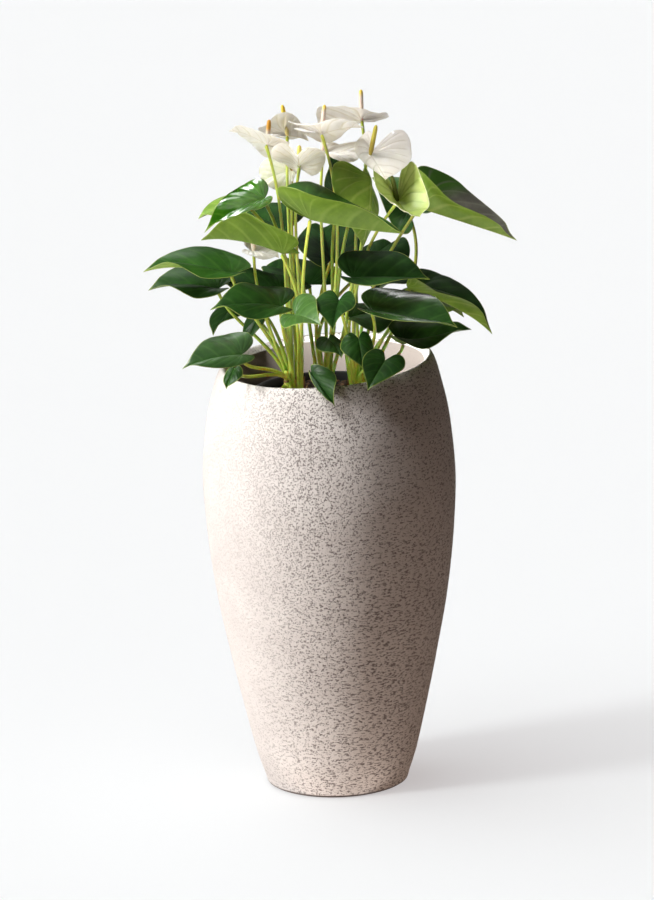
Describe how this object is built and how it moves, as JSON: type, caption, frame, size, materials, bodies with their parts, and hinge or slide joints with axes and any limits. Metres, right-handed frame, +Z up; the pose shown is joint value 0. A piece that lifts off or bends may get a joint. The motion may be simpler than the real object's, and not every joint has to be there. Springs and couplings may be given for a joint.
{
  "type": "potted anthurium",
  "caption": "White-flowered heart-leaved anthurium in its nursery pot, lifted on a block inside a tall cement-finish planter with a narrow base and a high belly.",
  "frame": {"origin": "centre of the planter's flat base, on the surface that it stands on", "axes": "+Z up along the planter's axis, -Y towards the front that the picture shows, +X to the right of that view"},
  "size_m": [0.5112, 0.3902, 0.9691],
  "materials": {
    "cement": "matte",
    "pot_plastic": "satin",
    "soil": "matte",
    "foam": "matte",
    "stalk": "satin",
    "leaf": "gloss",
    "young_leaf": "satin",
    "spathe": "satin",
    "green_spathe": "satin",
    "spadix": "matte"
  },
  "bodies": {
    "root": {"planter": "cement", "nursery_pot": "pot_plastic", "riser": "foam", "soil": "soil", "shoot_left": "stalk", "shoot_middle": "stalk", "shoot_right": "stalk", "leaf_glossy_left": "leaf", "leaf_pale_tip_left": "young_leaf", "leaf_wavy_top": "young_leaf", "leaf_upright_dark": "leaf", "leaf_upright_light": "young_leaf", "leaf_behind_funnel": "leaf", "leaf_top_right": "leaf", "leaf_olive_left": "young_leaf", "leaf_back_left_high": "leaf", "leaf_far_left": "leaf", "leaf_second_left": "leaf", "leaf_centre_left": "leaf", "leaf_behind_centre_left": "leaf", "leaf_small_front": "young_leaf", "leaf_centre_heart": "leaf", "leaf_curved_tip": "leaf", "leaf_back_right_low": "leaf", "leaf_right_drooping": "leaf", "leaf_right_pale": "young_leaf", "leaf_right_glossy": "leaf", "leaf_lower_right": "leaf", "leaf_under_glossy": "leaf", "leaf_rim_right": "leaf", "leaf_dark_by_rim": "leaf", "leaf_rim_front": "leaf", "leaf_lower_left": "leaf", "leaf_under_lower_left": "leaf", "leaf_curled_left": "leaf", "leaf_hanging_left": "leaf", "leaf_back_right_high": "leaf", "leaf_back_high": "leaf", "leaf_back_low": "leaf", "leaf_dark_low": "leaf", "spathe_one": "spathe", "spathe_two": "spathe", "spathe_three": "spathe", "spathe_four": "spathe", "spathe_five": "spathe", "spathe_six": "spathe", "spathe_seven": "spathe", "spathe_eight": "green_spathe", "spathe_nine": "green_spathe", "spathe_ten": "spathe", "spadix_one": "spadix", "spadix_two": "spadix", "spadix_three": "spadix", "spadix_four": "spadix", "spadix_five": "spadix", "spadix_six": "spadix", "spadix_seven": "spadix", "spadix_eight": "spadix", "spadix_nine": "spadix", "spadix_ten": "spadix"}
  },
  "joints": []
}
